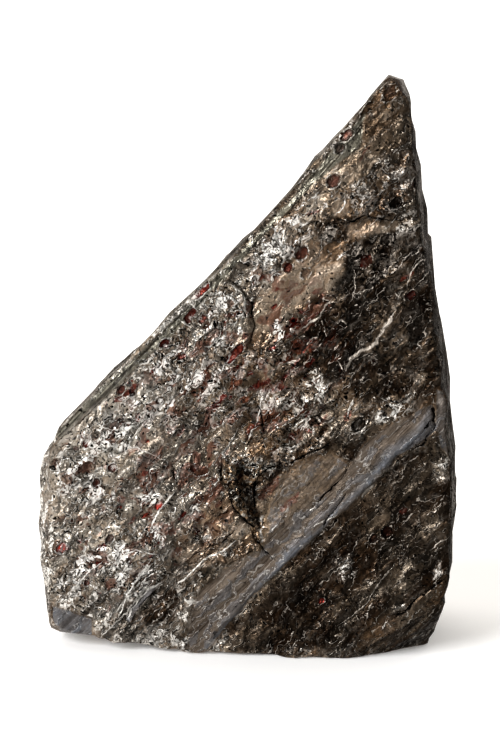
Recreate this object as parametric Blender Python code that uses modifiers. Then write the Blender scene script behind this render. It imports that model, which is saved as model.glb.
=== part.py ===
"""A lump of anthracite that stands on its broken base.

The lump is one stone. It starts as a plate with the outline of its broad front face, fracture
planes then split its back, corners and underside off, and last its skin gets the relief that
shows from a step away: ledges, a polished band, a crumbled hollow, shell-shaped scars and the
low steps of the bedding. The front face looks along -Y, +Z is up, and the origin is the middle
of the box's underside. Points in the tables below are millimetres, as (x, z) on the front face.
"""

import math

import bmesh
import bpy
from mathutils import Vector, noise

MM = 0.001

# The plate that the lump is split from.
FRONT_Y = -31.0
BACK_Y = 34.0
OUTLINE = [
    (41.8, 182.0), (44.2, 184.4), (47.2, 182.4), (49.3, 178.0),
    (52.5, 156.0), (56.6, 128.0), (60.4, 103.0), (63.6, 82.0),
    (65.2, 64.0), (65.8, 43.0), (65.2, 26.0), (62.8, 14.0), (57.0, -5.0),
    (-63.0, -5.0), (-66.2, 12.0), (-67.8, 38.0), (-68.2, 53.0),
    (-66.0, 62.5), (-62.0, 67.0), (-60.5, 72.5),
    (-33.7, 99.0), (-7.3, 125.7), (17.6, 153.9),
]

# Fracture planes: a point on each, in (x, y, z), and the way it faces.
FRACTURES = {
    "front, leaning back": ((0, -31, 0), (0, -1, 0.035)),
    "front, falling back under the band": ((19, -29.6, 40), (0.046, -1, -0.0175)),
    "front, falling back at the right": ((30, -27, 114), (0.046, -1, 0.015)),
    "upper back": ((0, 29, 40), (0.08, 1, 0.25)),
    "lower back": ((0, 31, 20), (-0.06, 1, -0.05)),
    "left back corner": ((-64, 4, 40), (-0.72, 0.68, 0.10)),
    "right back corner": ((65, 16, 60), (0.80, 0.58, 0.06)),
    "behind the long slope": ((-6, 6, 127), (-0.62, 0.46, 0.63)),
    "left front edge": ((-61, -31, 40), (-0.80, -0.60, 0.03)),
    "chip off the right foot": ((49, -31, 14), (0.46, -0.62, -0.60)),
    "chip off the left foot": ((-58, -31, 6.5), (-0.36, -0.66, -0.66)),
    "rising left underside": ((-60, -26, 3.7), (-0.09, -0.20, -0.97)),
    "front underside": ((20, -31, 1.0), (0, -0.30, -0.95)),
    "back underside": ((0, 30, 9), (0.12, 0.62, -0.76)),
    "tip, front": ((46, -26, 181), (-0.10, -0.72, 0.68)),
}

# The bedding runs up to the right across the front, and its steps follow it all round.
BEDDING_ANGLE = math.radians(43)
ALONG = Vector((math.cos(BEDDING_ANGLE), 0, math.sin(BEDDING_ANGLE)))
ACROSS = Vector((-math.sin(BEDDING_ANGLE), 0, math.cos(BEDDING_ANGLE)))

# Ledges on the front. The left side of each line stands proud by its height and fades over
# its reach, so that only the line itself is a sharp step.
LEDGES = [
    dict(points=[(-14, -2), (-5, 10), (4, 22), (15.5, 33), (26, 44), (33.5, 50), (38.5, 56.5),
                 (43, 60.5), (48, 68), (54, 72), (59, 77), (60, 85)], height=1.8, reach=11.0),
    dict(points=[(19, 139), (27, 139.5), (31.5, 140), (37.5, 143), (48, 141)], height=1.3, reach=9.0),
    dict(points=[(28, 92), (33, 96), (38, 102), (43, 108), (47, 114)], height=1.1, reach=8.0),
    dict(points=[(1, 99), (2.5, 105), (3.5, 109), (2.5, 114), (-3, 122)], height=1.2, reach=7.0),
    dict(points=[(-60, 69), (-52, 77), (-45, 83.5), (-34, 93)], height=1.5, reach=5.0),
    dict(points=[(-55, 69), (-47.5, 65), (-39.5, 63), (-29, 62)], height=1.0, reach=7.0),
    dict(points=[(16, 128), (31, 124), (40, 134), (58, 137)], height=0.9, reach=8.0),
    dict(points=[(-14, 47), (-7, 52), (-4, 64)], height=0.8, reach=6.0),
]

# Shell-shaped scars on the front: centre, radius and depth.
SCARS = [
    ((-39, 73), 10, 1.3), ((-48, 60), 6, 0.9), ((-31, 43), 7, 1.1), ((-52, 24), 8, 1.0),
    ((-28, 23), 9, 0.9), ((-18, 88), 8, 1.0), ((-7, 97), 6, 1.0), ((-20, 102), 5, 0.8),
    ((3, 117), 9, 0.8), ((22, 113), 10, 0.9), ((43, 151), 8, 0.7), ((36, 161), 6, 0.7),
    ((26, 84), 9, 1.2), ((50, 97), 8, 1.1), ((6, 84), 6, 0.9), ((40, 38), 10, 1.0),
    ((54, 50), 6, 0.9), ((24, 22), 8, 0.9), ((47, 24), 7, 0.8), ((-44, 84), 5, 0.7),
]

# The back is plainer: three long ledges, as (x, z) seen from the front, and wide scars.
BACK_LEDGES = [
    dict(points=[(-55, 28), (-22, 50), (14, 60), (45, 88)], height=2.2, reach=14.0),
    dict(points=[(-12, 94), (14, 107), (38, 140)], height=1.7, reach=10.0),
    dict(points=[(-42, 6), (0, 21), (52, 30)], height=1.6, reach=12.0),
]
BACK_SCARS = [
    ((-34, 62), 15, 2.0), ((22, 42), 18, 2.4), ((44, 103), 13, 1.6), ((3, 84), 13, 1.5),
    ((-50, 26), 12, 1.5), ((38, 146), 9, 1.1), ((-14, 30), 13, 1.6), ((48, 66), 11, 1.4),
]

# The crumbled hollow near the middle of the front.
HOLLOW = [(-3.5, 63.5), (-1, 66.5), (6, 65.5), (12, 66), (18.5, 62), (13, 57), (9, 52),
          (7.5, 45.5), (7.5, 38), (5, 38), (1.5, 47), (-1.5, 55)]
HOLLOW_DEPTH = 3.4
HOLLOW_WALL = 2.4

# Relief of the whole skin: a slow swell, large and small scars, and the bedding's steps.
SWELL = dict(size=22.0, height=0.9)
LARGE_DISHES = dict(along=19, across=9, deep=11, height=1.3)
SMALL_DISHES = dict(along=8, across=5, deep=6, height=0.55)
STEPS = dict(spacing=7.5, height=0.9)
FRONT_SHARE = 0.65

# Between these two, a point's normal passes from a side face to the front or the back.
SIDE_NORMAL = 0.45
FACE_NORMAL = 0.85

# How fine the skin is before and after its plain stretches are simplified.
SKIN_CELL = 1.5
SKIN_TRIANGLES = 8200

COAL_COLOUR = (0.035, 0.031, 0.028, 1.0)
COAL_ROUGHNESS = 0.28


def clear_scene():
    for old in list(bpy.data.objects):
        bpy.data.objects.remove(old)


def smooth_step(low, high, value):
    share = min(1.0, max(0.0, (value - low) / (high - low)))
    return share * share * (3 - 2 * share)


def mesh_from(obj, name):
    """A new object that holds what the modifiers or the curve of obj come to; obj is removed."""
    graph = bpy.context.evaluated_depsgraph_get()
    mesh = bpy.data.meshes.new_from_object(obj.evaluated_get(graph))
    mesh.transform(obj.matrix_world)
    made = bpy.data.objects.new(name, mesh)
    home = obj.users_collection[0]
    bpy.data.objects.remove(obj)
    home.objects.link(made)
    return made


def plate(collection):
    """The front outline, extruded to the full depth and stood upright."""
    curve = bpy.data.curves.new("plate_outline", "CURVE")
    curve.dimensions = "2D"
    curve.fill_mode = "BOTH"
    curve.extrude = (BACK_Y - FRONT_Y) / 2 * MM
    spline = curve.splines.new("POLY")
    spline.points.add(len(OUTLINE) - 1)
    for point, (x, z) in zip(spline.points, OUTLINE):
        point.co = (x * MM, z * MM, 0, 1)
    spline.use_cyclic_u = True
    outline = bpy.data.objects.new("plate_outline", curve)
    outline.rotation_euler.x = math.radians(90)
    outline.location.y = (BACK_Y + FRONT_Y) / 2 * MM
    collection.objects.link(outline)
    bpy.context.view_layer.update()
    return mesh_from(outline, "plate")


def split(bm, point, facing):
    """Takes off what lies beyond a plane, and closes the cut."""
    everything = bm.verts[:] + bm.edges[:] + bm.faces[:]
    cut = bmesh.ops.bisect_plane(
        bm, geom=everything, dist=1e-6, plane_co=point, plane_no=facing, clear_outer=True
    )
    rim = [piece for piece in cut["geom_cut"] if isinstance(piece, bmesh.types.BMEdge)]
    bmesh.ops.holes_fill(bm, edges=rim, sides=0)


def split_corners(block):
    bm = bmesh.new()
    bm.from_mesh(block.data)
    bmesh.ops.remove_doubles(bm, verts=bm.verts, dist=1e-5)
    for point, facing in FRACTURES.values():
        split(bm, Vector(point) * MM, Vector(facing).normalized())
    bmesh.ops.recalc_face_normals(bm, faces=bm.faces)
    bm.to_mesh(block.data)
    bm.free()


def distance_to_line(x, z, points):
    """Distance to a line of points, its side (+1 on the left) and the share of its length."""
    nearest = (1e9, 1.0, 0.0)
    last = len(points) - 2
    for i, ((ax, az), (bx, bz)) in enumerate(zip(points, points[1:])):
        dx, dz = bx - ax, bz - az
        share = ((x - ax) * dx + (z - az) * dz) / (dx * dx + dz * dz)
        share = min(1.0, max(0.0, share))
        away = math.hypot(x - ax - share * dx, z - az - share * dz)
        if away < nearest[0]:
            side = 1.0 if dx * (z - az) - dz * (x - ax) > 0 else -1.0
            nearest = (away, side, (i + share) / (last + 1))
    return nearest


def ledge_height(x, z, points, height, reach):
    away, side, along = distance_to_line(x, z, points)
    if away > 4 * reach:
        return 0.0
    ends = smooth_step(0.0, 0.12, along) * smooth_step(1.0, 0.88, along)
    edge = smooth_step(-0.7, 0.7, away * side)
    return height * ends * edge * math.exp(-away / reach)


def is_inside(x, z, polygon):
    inside = False
    for (ax, az), (bx, bz) in zip(polygon, polygon[1:] + polygon[:1]):
        if (az > z) != (bz > z) and x < ax + (z - az) / (bz - az) * (bx - ax):
            inside = not inside
    return inside


def hollow_depth(x, z):
    if not is_inside(x, z, HOLLOW):
        return 0.0
    from_rim = distance_to_line(x, z, HOLLOW + HOLLOW[:1])[0]
    crumbs = 0.35 * noise.noise(Vector((x, 0, z)) * 0.45)
    return HOLLOW_DEPTH * (smooth_step(0, HOLLOW_WALL, from_rim) + crumbs)


def scar_depth(x, z, scars):
    """Shell-shaped scars are shallow dishes, and where two meet the deeper one wins."""
    deepest = 0.0
    for (cx, cz), radius, depth in scars:
        reach = math.hypot(x - cx, z - cz) / radius
        if reach < 1:
            deepest = max(deepest, depth * (1 - reach * reach))
    return deepest


def face_relief(x, z, ledges, scars):
    return sum(ledge_height(x, z, **ledge) for ledge in ledges) - scar_depth(x, z, scars)


def dishes(point, along, across, deep, height):
    """Concave scars that meet in ridges: the squared distance to the nearest of many seeds."""
    seeds = Vector((point.dot(ALONG) / along, point.y / deep, point.dot(ACROSS) / across))
    nearest = noise.voronoi(seeds)[0][0]
    return height * (nearest * nearest - 0.3)


def bedding_steps(point, spacing, height):
    """A saw-tooth across the bedding: long treads, then a sudden riser."""
    waver = 0.35 * spacing * noise.noise(point * 0.05)
    level = (point.dot(ACROSS) + waver) / spacing
    patch = smooth_step(-0.15, 0.25, noise.noise(point * 0.035 + Vector((7, 3, 1))))
    return height * patch * (level - math.floor(level) - 0.5)


def skin_relief(point):
    """What the whole skin has, front and back alike."""
    height = SWELL["height"] * noise.noise(point / SWELL["size"])
    height += dishes(point, **LARGE_DISHES)
    height += dishes(point + Vector((31, 17, 5)), **SMALL_DISHES)
    return height + bedding_steps(point, **STEPS)


def carve(lump):
    """Moves every point of the skin along its normal by the relief at that point."""
    mesh = lump.data
    moved = []
    for vertex in mesh.vertices:
        point, normal = vertex.co / MM, vertex.normal
        on_front = smooth_step(SIDE_NORMAL, FACE_NORMAL, -normal.y)
        on_back = smooth_step(SIDE_NORMAL, FACE_NORMAL, normal.y)
        height = skin_relief(point) * (1.0 - (1.0 - FRONT_SHARE) * on_front)
        if on_front > 0:
            front = face_relief(point.x, point.z, LEDGES, SCARS) - hollow_depth(point.x, point.z)
            height += on_front * front
        if on_back > 0:
            height += on_back * face_relief(point.x, point.z, BACK_LEDGES, BACK_SCARS)
        moved.append(vertex.co + normal * (height * MM))
    for vertex, place in zip(mesh.vertices, moved):
        vertex.co = place
    mesh.update()


def refine(block):
    """An even skin, fine enough to carve."""
    cells = block.modifiers.new("even_skin", "REMESH")
    cells.mode = "VOXEL"
    cells.voxel_size = SKIN_CELL * MM
    return mesh_from(block, "lump")


def simplify(lump):
    """Fewer triangles on plain stretches, so that the ridges keep theirs."""
    triangles = sum(len(face.vertices) - 2 for face in lump.data.polygons)
    fewer = lump.modifiers.new("fewer_triangles", "DECIMATE")
    fewer.ratio = SKIN_TRIANGLES / triangles
    return mesh_from(lump, "anthracite")


def flatten_base(lump):
    """Cuts the standing face flat at z = 0 and puts the origin under the middle of the box."""
    bm = bmesh.new()
    bm.from_mesh(lump.data)
    split(bm, Vector((0, 0, 0)), Vector((0, 0, -1)))
    bmesh.ops.dissolve_degenerate(bm, edges=bm.edges, dist=1e-5)
    bmesh.ops.triangulate(bm, faces=bm.faces)
    bmesh.ops.recalc_face_normals(bm, faces=bm.faces)
    xs = [vertex.co.x for vertex in bm.verts]
    ys = [vertex.co.y for vertex in bm.verts]
    middle = Vector(((min(xs) + max(xs)) / 2, (min(ys) + max(ys)) / 2, 0))
    bmesh.ops.translate(bm, verts=bm.verts, vec=-middle)
    bm.to_mesh(lump.data)
    bm.free()
    print("moved to the middle by", [round(value / MM, 2) for value in -middle])


def coal_material():
    material = bpy.data.materials.new("anthracite")
    material.use_nodes = True
    shader = material.node_tree.nodes["Principled BSDF"]
    shader.inputs["Base Color"].default_value = COAL_COLOUR
    shader.inputs["Roughness"].default_value = COAL_ROUGHNESS
    shader.inputs["Metallic"].default_value = 0.0
    return material


def main():
    clear_scene()
    collection = bpy.data.collections.new("anthracite_lump")
    bpy.context.scene.collection.children.link(collection)
    block = plate(collection)
    split_corners(block)
    lump = refine(block)
    carve(lump)
    lump = simplify(lump)
    flatten_base(lump)
    lump.data.materials.clear()
    lump.data.materials.append(coal_material())


main()
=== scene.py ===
import itertools
import math

import bpy
import numpy as np
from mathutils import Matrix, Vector


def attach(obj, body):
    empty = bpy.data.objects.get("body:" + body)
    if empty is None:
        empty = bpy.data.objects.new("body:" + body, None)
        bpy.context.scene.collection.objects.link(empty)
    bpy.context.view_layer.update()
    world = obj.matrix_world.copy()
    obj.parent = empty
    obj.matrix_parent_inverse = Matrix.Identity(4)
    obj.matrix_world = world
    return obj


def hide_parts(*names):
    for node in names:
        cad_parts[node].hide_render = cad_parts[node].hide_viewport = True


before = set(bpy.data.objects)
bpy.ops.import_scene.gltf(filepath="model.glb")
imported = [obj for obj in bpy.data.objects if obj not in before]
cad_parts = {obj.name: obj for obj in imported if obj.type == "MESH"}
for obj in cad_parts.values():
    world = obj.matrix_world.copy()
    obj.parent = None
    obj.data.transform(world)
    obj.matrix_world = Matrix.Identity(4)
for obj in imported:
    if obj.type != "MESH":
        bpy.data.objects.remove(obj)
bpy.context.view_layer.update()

# Camera, at the photograph's viewing angle
camera = {
    "target": (0.0032, -0.028, 0.0919),  # metres, the point in the middle of the picture
    "azimuth": 8,  # degrees to the right of straight on
    "elevation": 12,
    "distance": 0.554,
    "lens": 85,
    "sensor": 36,
}


def directionFrom(azimuth, elevation):
    a, e = math.radians(azimuth), math.radians(elevation)
    return Vector((math.sin(a) * math.cos(e), -math.cos(a) * math.cos(e), math.sin(e)))


def makeCamera():
    data = bpy.data.cameras.new("camera")
    data.lens = camera["lens"]
    data.sensor_width = camera["sensor"]
    thing = bpy.data.objects.new("camera", data)
    bpy.context.scene.collection.objects.link(thing)
    back = directionFrom(camera["azimuth"], camera["elevation"])
    thing.location = Vector(camera["target"]) + back * camera["distance"]
    thing.rotation_mode = "QUATERNION"
    thing.rotation_quaternion = (-back).to_track_quat("-Z", "Y")
    bpy.context.scene.camera = thing


makeCamera()
print("camera is set")

# Even random numbers and soft noise, worked out from a point's place, so that each run is the same
lattice = {
    "primes": np.array([73856093, 19349663, 83492791, 2654435761], np.uint64),
    "mixers": np.array([2246822519, 3266489917, 668265263], np.uint64),
    "low": np.uint64(0xFFFFFFFF),
}


def randomTriples(cells, salt):
    # three numbers from 0 to 1 for each whole-numbered cell
    whole = cells.astype(np.int64).astype(np.uint64)
    mixed = np.uint64(salt) * lattice["primes"][3]
    for axis in range(3):
        mixed = (mixed ^ (whole[:, axis] * lattice["primes"][axis])) & lattice["low"]
    triples = []
    for mixer in lattice["mixers"]:
        mixed = ((mixed ^ (mixed >> np.uint64(15))) * mixer) & lattice["low"]
        mixed = mixed ^ (mixed >> np.uint64(13))
        triples.append(mixed / float(2**32))
    return np.stack(triples, axis=1)


def softNoise(places, salt):
    # three smooth noises from -1 to 1 at each place
    home = np.floor(places)
    share = places - home
    share = share * share * (3 - 2 * share)
    total = np.zeros((len(places), 3))
    for corner in itertools.product((0, 1), repeat=3):
        weight = np.prod(np.where(corner, share, 1 - share), axis=1)
        total += weight[:, None] * randomTriples(home + corner, salt)
    return total * 2 - 1


def smoothStep(low, high, value):
    share = np.clip((value - low) / (high - low), 0, 1)
    return share * share * (3 - 2 * share)


def scarField(places, salt, uneven):
    # hollow scars that meet in sharp ridges: level in the scar, gap to the ridge, random numbers
    home = np.floor(places)
    lowest = np.full(len(places), 9.0)
    second = lowest.copy()
    chosen = np.zeros((len(places), 3))
    for step in itertools.product((-1, 0, 1), repeat=3):
        cell = home + step
        seed = randomTriples(cell, salt)
        away = places - cell - seed
        level = np.einsum("ij,ij->i", away, away) + uneven * ((seed[:, 0] * 97.3) % 1)
        nearer = level < lowest
        second = np.where(nearer, lowest, np.minimum(second, level))
        chosen = np.where(nearer[:, None], seed, chosen)
        lowest = np.where(nearer, level, lowest)
    return lowest, second - lowest, chosen


# Lines and outlines on the broad front face, in millimetres across (x) and up (z)


def lineDistance(x, z, points):
    # distance to a line of points, its side (1 on the left) and the share of its length
    nearest = np.full(len(x), 1e9)
    side = np.ones(len(x))
    along = np.zeros(len(x))
    for count, ((ax, az), (bx, bz)) in enumerate(zip(points, points[1:])):
        dx, dz = bx - ax, bz - az
        share = np.clip(((x - ax) * dx + (z - az) * dz) / (dx * dx + dz * dz), 0, 1)
        gap = np.hypot(x - ax - share * dx, z - az - share * dz)
        closer = gap < nearest
        nearest = np.where(closer, gap, nearest)
        side = np.where(closer, np.sign(dx * (z - az) - dz * (x - ax)), side)
        along = np.where(closer, (count + share) / (len(points) - 1), along)
    return nearest, side, along


def insideOutline(x, z, points):
    inside = np.zeros(len(x), bool)
    for (ax, az), (bx, bz) in zip(points, points[1:] + points[:1]):
        if az != bz:
            crosses = ((az > z) != (bz > z)) & (x < ax + (z - az) / (bz - az) * (bx - ax))
            inside ^= crosses
    return inside


def patchShare(x, z, points, soft):
    # 1 inside an outline, 0 outside, and a soft edge between
    gap = lineDistance(x, z, points + points[:1])[0]
    return smoothStep(-soft, soft, np.where(insideOutline(x, z, points), gap, -gap))


# The front's surfaces. rough: share of the crinkled relief; glint: how far the small facets
# turn; polish, dark, pale, warm, blue: finish; sink: how deep it lies; soft: width of the edge
frontSurfaces = {
    "band": {
        "outline": [
            (-10.8, 0.9), (-4.3, 10.3), (5.3, 22.4), (16.5, 32.8), (26.9, 43.7), (34.4, 50.2), (39.6, 56.5),
            (44.2, 60.5), (49.1, 68), (57.9, 73.1), (61.3, 76.1), (60.5, 84.5), (51.3, 79.8), (44.3, 75.8),
            (38.1, 69.2), (33.5, 62.7), (27.3, 59.9), (19.4, 56.7), (13.2, 50.6), (9.4, 42.3), (7.5, 36.3),
            (-1.1, 32), (-12.4, 21.6), (-16.4, 9.7), (-15.7, 0.7),
        ],
        "soft": 1.2, "rough": 0.16, "glint": 0.15, "polish": 1, "dark": 0.2,
    },
    "upper flow": {
        "outline": [
            (3.3, 104.6), (5.8, 115.6), (12.6, 125.1), (18.7, 131.4), (24.2, 134.6), (28, 127.9),
            (25.6, 120.7), (18.9, 115.9), (14.2, 111.1), (7.1, 103.1),
        ],
        "soft": 2, "rough": 0.3, "glint": 0.16, "polish": 0.1, "pale": 0.2,
    },
    "flow under the overhang": {
        "outline": [
            (32.5, 138.4), (38.5, 142.1), (46.8, 141.1), (49.8, 138.7), (43.2, 134.9), (34.1, 132.6),
            (29.6, 127), (24.9, 126.9), (28.5, 134.6),
        ],
        "soft": 1.5, "rough": 0.35, "glint": 0.2, "polish": 0.2, "pale": 0.05,
    },
    "spire": {
        "outline": [
            (40, 180), (47.5, 182), (50, 174.2), (47.3, 162.2), (39.8, 154.6), (32.3, 151.5), (24.7, 148.3),
            (29.1, 157.5), (35.1, 168.1),
        ],
        "soft": 3, "rough": 0.5, "glint": 0.17, "dark": 0.5, "warm": 0.5,
    },
    "glassy patch": {
        "outline": [(-47, 74), (-36, 84), (-28.4, 86), (-26, 78), (-31, 69), (-36, 64), (-44, 64)],
        "soft": 2, "rough": 0.4, "glint": 0.3, "pale": 0.8,
    },
    "dark side": {
        "outline": [
            (29.5, 127.9), (37.1, 133.3), (49.3, 136.5), (56.9, 136.7), (62.1, 107.7), (65, 85.9),
            (50.3, 85.5), (37.9, 86.7), (28.5, 91.1), (19.1, 94), (15.9, 101.8), (22, 112.9),
        ],
        "soft": 4, "rough": 0.65, "glint": 0.36, "dark": 0.85, "warm": 0.7,
    },
    "low dark side": {
        "outline": [
            (-2.7, 10.4), (16.5, 32.1), (33.7, 49.2), (47.6, 63.2), (62.9, 73.3), (67, 54.4), (66.7, 31.8),
            (56.2, 21.5), (45.3, 14.4), (34.4, 4), (-2.7, 1.4),
        ],
        "soft": 1.5, "rough": 0.45, "glint": 0.24, "dark": 0.8,
    },
    "grey foot": {
        "outline": [(-63.2, 14.5), (-55.2, 12.8), (-47.9, 10.5), (-48, 3.7), (-61.3, 4.4)],
        "soft": 1, "rough": 0.2, "glint": 0.3, "polish": 0.75, "dark": 0.35, "pale": 0.1, "blue": 1,
    },
    "right foot": {
        "outline": [(36, 3.4), (45.3, 14.4), (56.3, 21.2), (67, 31.2), (67.3, 18.2), (59.7, 5.3)],
        "soft": 1, "rough": 0.35, "glint": 0.25, "polish": 0.1, "dark": 0.4,
    },
    "slat beside the slope": {
        "outline": [
            (-59.4, 69), (-50.5, 78.1), (-43.6, 84.8), (-34.2, 94), (-32.6, 92.2), (-43, 81.9),
            (-50.5, 74.5), (-57.8, 66.8),
        ],
        "soft": 0.7, "rough": 0.15, "glint": 0.2, "polish": 0.4, "pale": 1, "blue": 0.3,
    },
    "brown shelf beside the hollow": {
        "outline": [
            (5.4, 50.4), (9.9, 58.6), (19.4, 66), (28.8, 68.3), (35.1, 65.3), (28.9, 56.1), (19.5, 49.2),
            (11.6, 42.4), (7.5, 43.9),
        ],
        "soft": 1.2, "rough": 0.18, "glint": 0.12, "polish": 0.55, "dark": 0.1, "warm": 0.9,
    },
    "long flow": {
        "outline": [
            (5.8, 115.6), (7, 124.3), (14.1, 127.6), (18.7, 128.9), (28, 127.9), (32.6, 130.1), (34.1, 128),
            (28.1, 119.2), (18.9, 114), (9.6, 106.3), (5.8, 106.2),
        ],
        "soft": 1.5, "rough": 0.22, "glint": 0.1, "polish": 0.05, "pale": 0.35, "warm": 0.7,
    },
    "spire facet": {
        "outline": [(22.7, 159.5), (33.9, 162.1), (37.4, 157.6), (33.5, 151.2), (24.6, 151.1)],
        "soft": 1.5, "rough": 0.2, "glint": 0.12, "polish": 0.2, "dark": 0.1, "pale": 0.1, "warm": 0.6,
    },
    "olive facet": {
        "outline": [(28.1, 146.8), (33.6, 146.9), (33.6, 142.1), (28.7, 142)],
        "soft": 0.8, "rough": 0.15, "glint": 0.1, "polish": 0.2, "pale": 0.2, "warm": 0.5,
    },
    "facets under the overhang": {
        "outline": [(32.7, 139.9), (43.7, 140.1), (45.6, 137.4), (37.1, 134.8), (32.8, 135.9)],
        "soft": 0.8, "rough": 0.2, "glint": 0.1, "polish": 0.2, "pale": 0.25, "warm": 0.4,
    },
    "pits under the overhang": {
        "outline": [(22, 139.4), (32.8, 139), (32.8, 134.4), (24.2, 134.6)],
        "soft": 1, "rough": 1, "glint": 0.6, "dark": 0.7,
    },
    "black hollow": {
        "outline": [(34.4, 134.7), (46.5, 137.1), (48.2, 128.3), (43.4, 122), (34.5, 122.5), (32.6, 128)],
        "soft": 2, "rough": 1, "glint": 0.5, "dark": 0.95, "sink": 0.9,
    },
    "pale glass": {
        "outline": [(-41, 82.6), (-29.7, 83), (-29.8, 77.2), (-34.3, 73.8), (-40.8, 74.6)],
        "soft": 1, "rough": 0.25, "glint": 0.25, "pale": 0.85,
    },
    "white crinkle": {
        "outline": [(-45.9, 75.7), (-32.3, 75.2), (-32.4, 70), (-38.9, 67.8), (-45.3, 70.5)],
        "soft": 1.2, "rough": 0.8, "glint": 0.9, "pale": 1,
    },
    "pale facets": {
        "outline": [(-48, 62.6), (-41.5, 62.8), (-40.9, 58.6), (-44.8, 57.1), (-48.1, 59.6)],
        "soft": 0.8, "rough": 0.3, "glint": 0.5, "pale": 0.9,
    },
    "dark wedge": {
        "outline": [(-31, 11.8), (-25.7, 19), (-19.9, 22.2), (-19, 16.4), (-21.9, 10.4), (-29.6, 10.1)],
        "soft": 0.8, "rough": 0.3, "glint": 0.3, "dark": 0.7, "warm": 0.5,
    },
    "bluish blade": {
        "outline": [
            (-37.1, 10.8), (-34.9, 14.2), (-29.5, 20.8), (-25.2, 24.1), (-26.6, 21.4), (-31.5, 15.8),
            (-35.4, 10.4),
        ],
        "soft": 0.4, "rough": 0.1, "glint": 0.1, "polish": 0.9, "pale": 0.3, "blue": 0.8,
    },
    "white shard": {
        "outline": [(-42.3, 11.1), (-40, 14), (-35.3, 18.8), (-37.3, 15.8), (-40.6, 10.9)],
        "soft": 0.4, "rough": 0.1, "glint": 0.1, "pale": 1.5,
    },
    "rippled shell": {
        "outline": [
            (-39, 50.2), (-35.7, 52.9), (-28.6, 51.2), (-24.4, 47.5), (-25.4, 42.8), (-31.9, 40.6),
            (-37.8, 43),
        ],
        "soft": 1.2, "rough": 0.3, "glint": 0.25, "pale": 0.9,
    },
    "end of the band": {
        "outline": [(61.3, 88.6), (66.2, 87.5), (67.1, 76.6), (66.7, 66.4), (62.9, 70.1), (61.6, 77)],
        "soft": 0.8, "rough": 0.25, "glint": 0.1, "polish": 0.9, "blue": 0.3,
    },
}

# Patches of small turned facets that glint, as outlines
glintPatches = [
    [(-10.2, 118.4), (-7.4, 118.7), (-7.4, 115.9), (-9.9, 115.9)],
    [(-6.8, 118.4), (-2.4, 118.8), (-2.7, 112.6), (-6.1, 112.2)],
    [(-7.4, 107.4), (-4.9, 107.2), (-4.5, 99.6), (-7.1, 98.9), (-8.3, 103.3)],
    [(-1.1, 109.8), (1.4, 110.5), (1.8, 105.5), (-0.4, 104.8)],
    [(42.9, 82.1), (47.8, 87.3), (51.2, 86.8), (49.7, 81.7), (45.5, 77.7), (43, 78.9)],
    [(51.8, 88), (53.9, 89.4), (55.2, 87.5), (53.4, 85.6)],
    [(55.1, 91.9), (57.5, 93.9), (59.6, 93.3), (58.8, 90.8), (56, 90.4)],
    [(61.4, 28.3), (62, 31.6), (63.8, 33), (64.2, 29.7)],
    [(50.2, 17.6), (50.6, 19.3), (53, 19.8), (52.9, 17.8)],
    [(-3.5, 65.5), (0.3, 66.6), (7.3, 66.9), (11.1, 64.4), (9.3, 61.8), (3.5, 60.9), (-0.9, 62.7)],
    [(18.6, 140), (19.5, 148.2), (24, 150.4), (26.5, 146.8), (22.3, 139.1)],
    [(5.7, 124.3), (6.9, 134.2), (10.9, 139.8), (17.4, 140), (18.7, 134.5), (14.1, 131.9), (11, 124.4)],
    [(8.4, 103.1), (10.2, 110.1), (14.5, 112.1), (15.2, 108), (11.5, 101.7)],
    [(-31.8, 54.4), (-28.6, 55.2), (-26, 53.3), (-26.7, 50), (-29.3, 48.6), (-31.5, 51.1)],
    [(-37, 39.5), (-26.5, 41), (-22.5, 38), (-25, 34.5), (-35, 35)],
    [(-40.9, 18.6), (-40.2, 30.3), (-31.9, 34.6), (-25.4, 33.3), (-26.4, 22.6), (-33.7, 17.2)],
    [(-15.7, 42.2), (-9.9, 42.5), (-9.9, 38.9), (-15.7, 38)],
    [(-47.9, 74.3), (-40.7, 76.2), (-34, 72.5), (-35.6, 66.6), (-43.1, 66.4), (-47.9, 69.4)],
    [(-52.9, 65.4), (-48, 66.2), (-49.3, 62.2), (-53.3, 62.4)],
    [(-48, 62.3), (-42.2, 62.5), (-42.9, 55.6), (-46.5, 56.4)],
    [(19.1, 90.8), (24.7, 94.2), (28.5, 89.5), (26.1, 84.1), (20.7, 84.6)],
    [(59.9, 66.2), (65.5, 67), (66.3, 60.7), (62, 59)],
    [(30.8, 33.4), (35.5, 35.3), (36.2, 28.8), (32.5, 27)],
]

# The striped side face under the long slope
slopeStrip = [
    (23, 152.3), (15.9, 144.8), (6.7, 135.1), (-2.6, 124.7), (-12, 114.5), (-21.5, 103.9), (-31.1, 94.8),
    (-40.8, 86.1), (-50.6, 77.7), (-58, 70.3), (-60, 71), (-40, 90), (0, 130), (38, 173), (36.5, 163),
]

# Under the long slope the coal is crinkled and catches the light
brightBelt = [
    (-57.8, 64.2), (-44.6, 79.3), (-25.2, 99.7), (-6.1, 120), (12.5, 139), (30.6, 159), (33.8, 154.5),
    (18.7, 132.9), (3.3, 112.4), (-12.4, 93.1), (-28.5, 73.3), (-44.8, 58.1), (-57.9, 56),
]

# The bluish lower edge of the polished band
blueEdge = [
    (-10.8, 1.6), (0.5, 17.2), (13.3, 32.7), (26.8, 46.3), (34.3, 53.4), (42, 63), (46.9, 69.5),
    (55.1, 77.8), (60.5, 84.5), (61.3, 76.1), (53.1, 70.1), (46.9, 65.1), (39.6, 56.5), (26.9, 43.7),
    (16.5, 32.8), (5.3, 22.4), (-4.3, 10.3),
]

hollowOutline = [
    (-4.6, 65.5), (0.3, 67.2), (7.3, 67.3), (12.6, 65.2), (11.7, 62.6), (7.2, 60.5), (4.6, 56.8), (4.3, 50),
    (7.4, 42), (7.6, 37), (4.3, 42.1), (0.7, 46.7), (-2.9, 52.6), (-5.5, 57.7),
]

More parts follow.
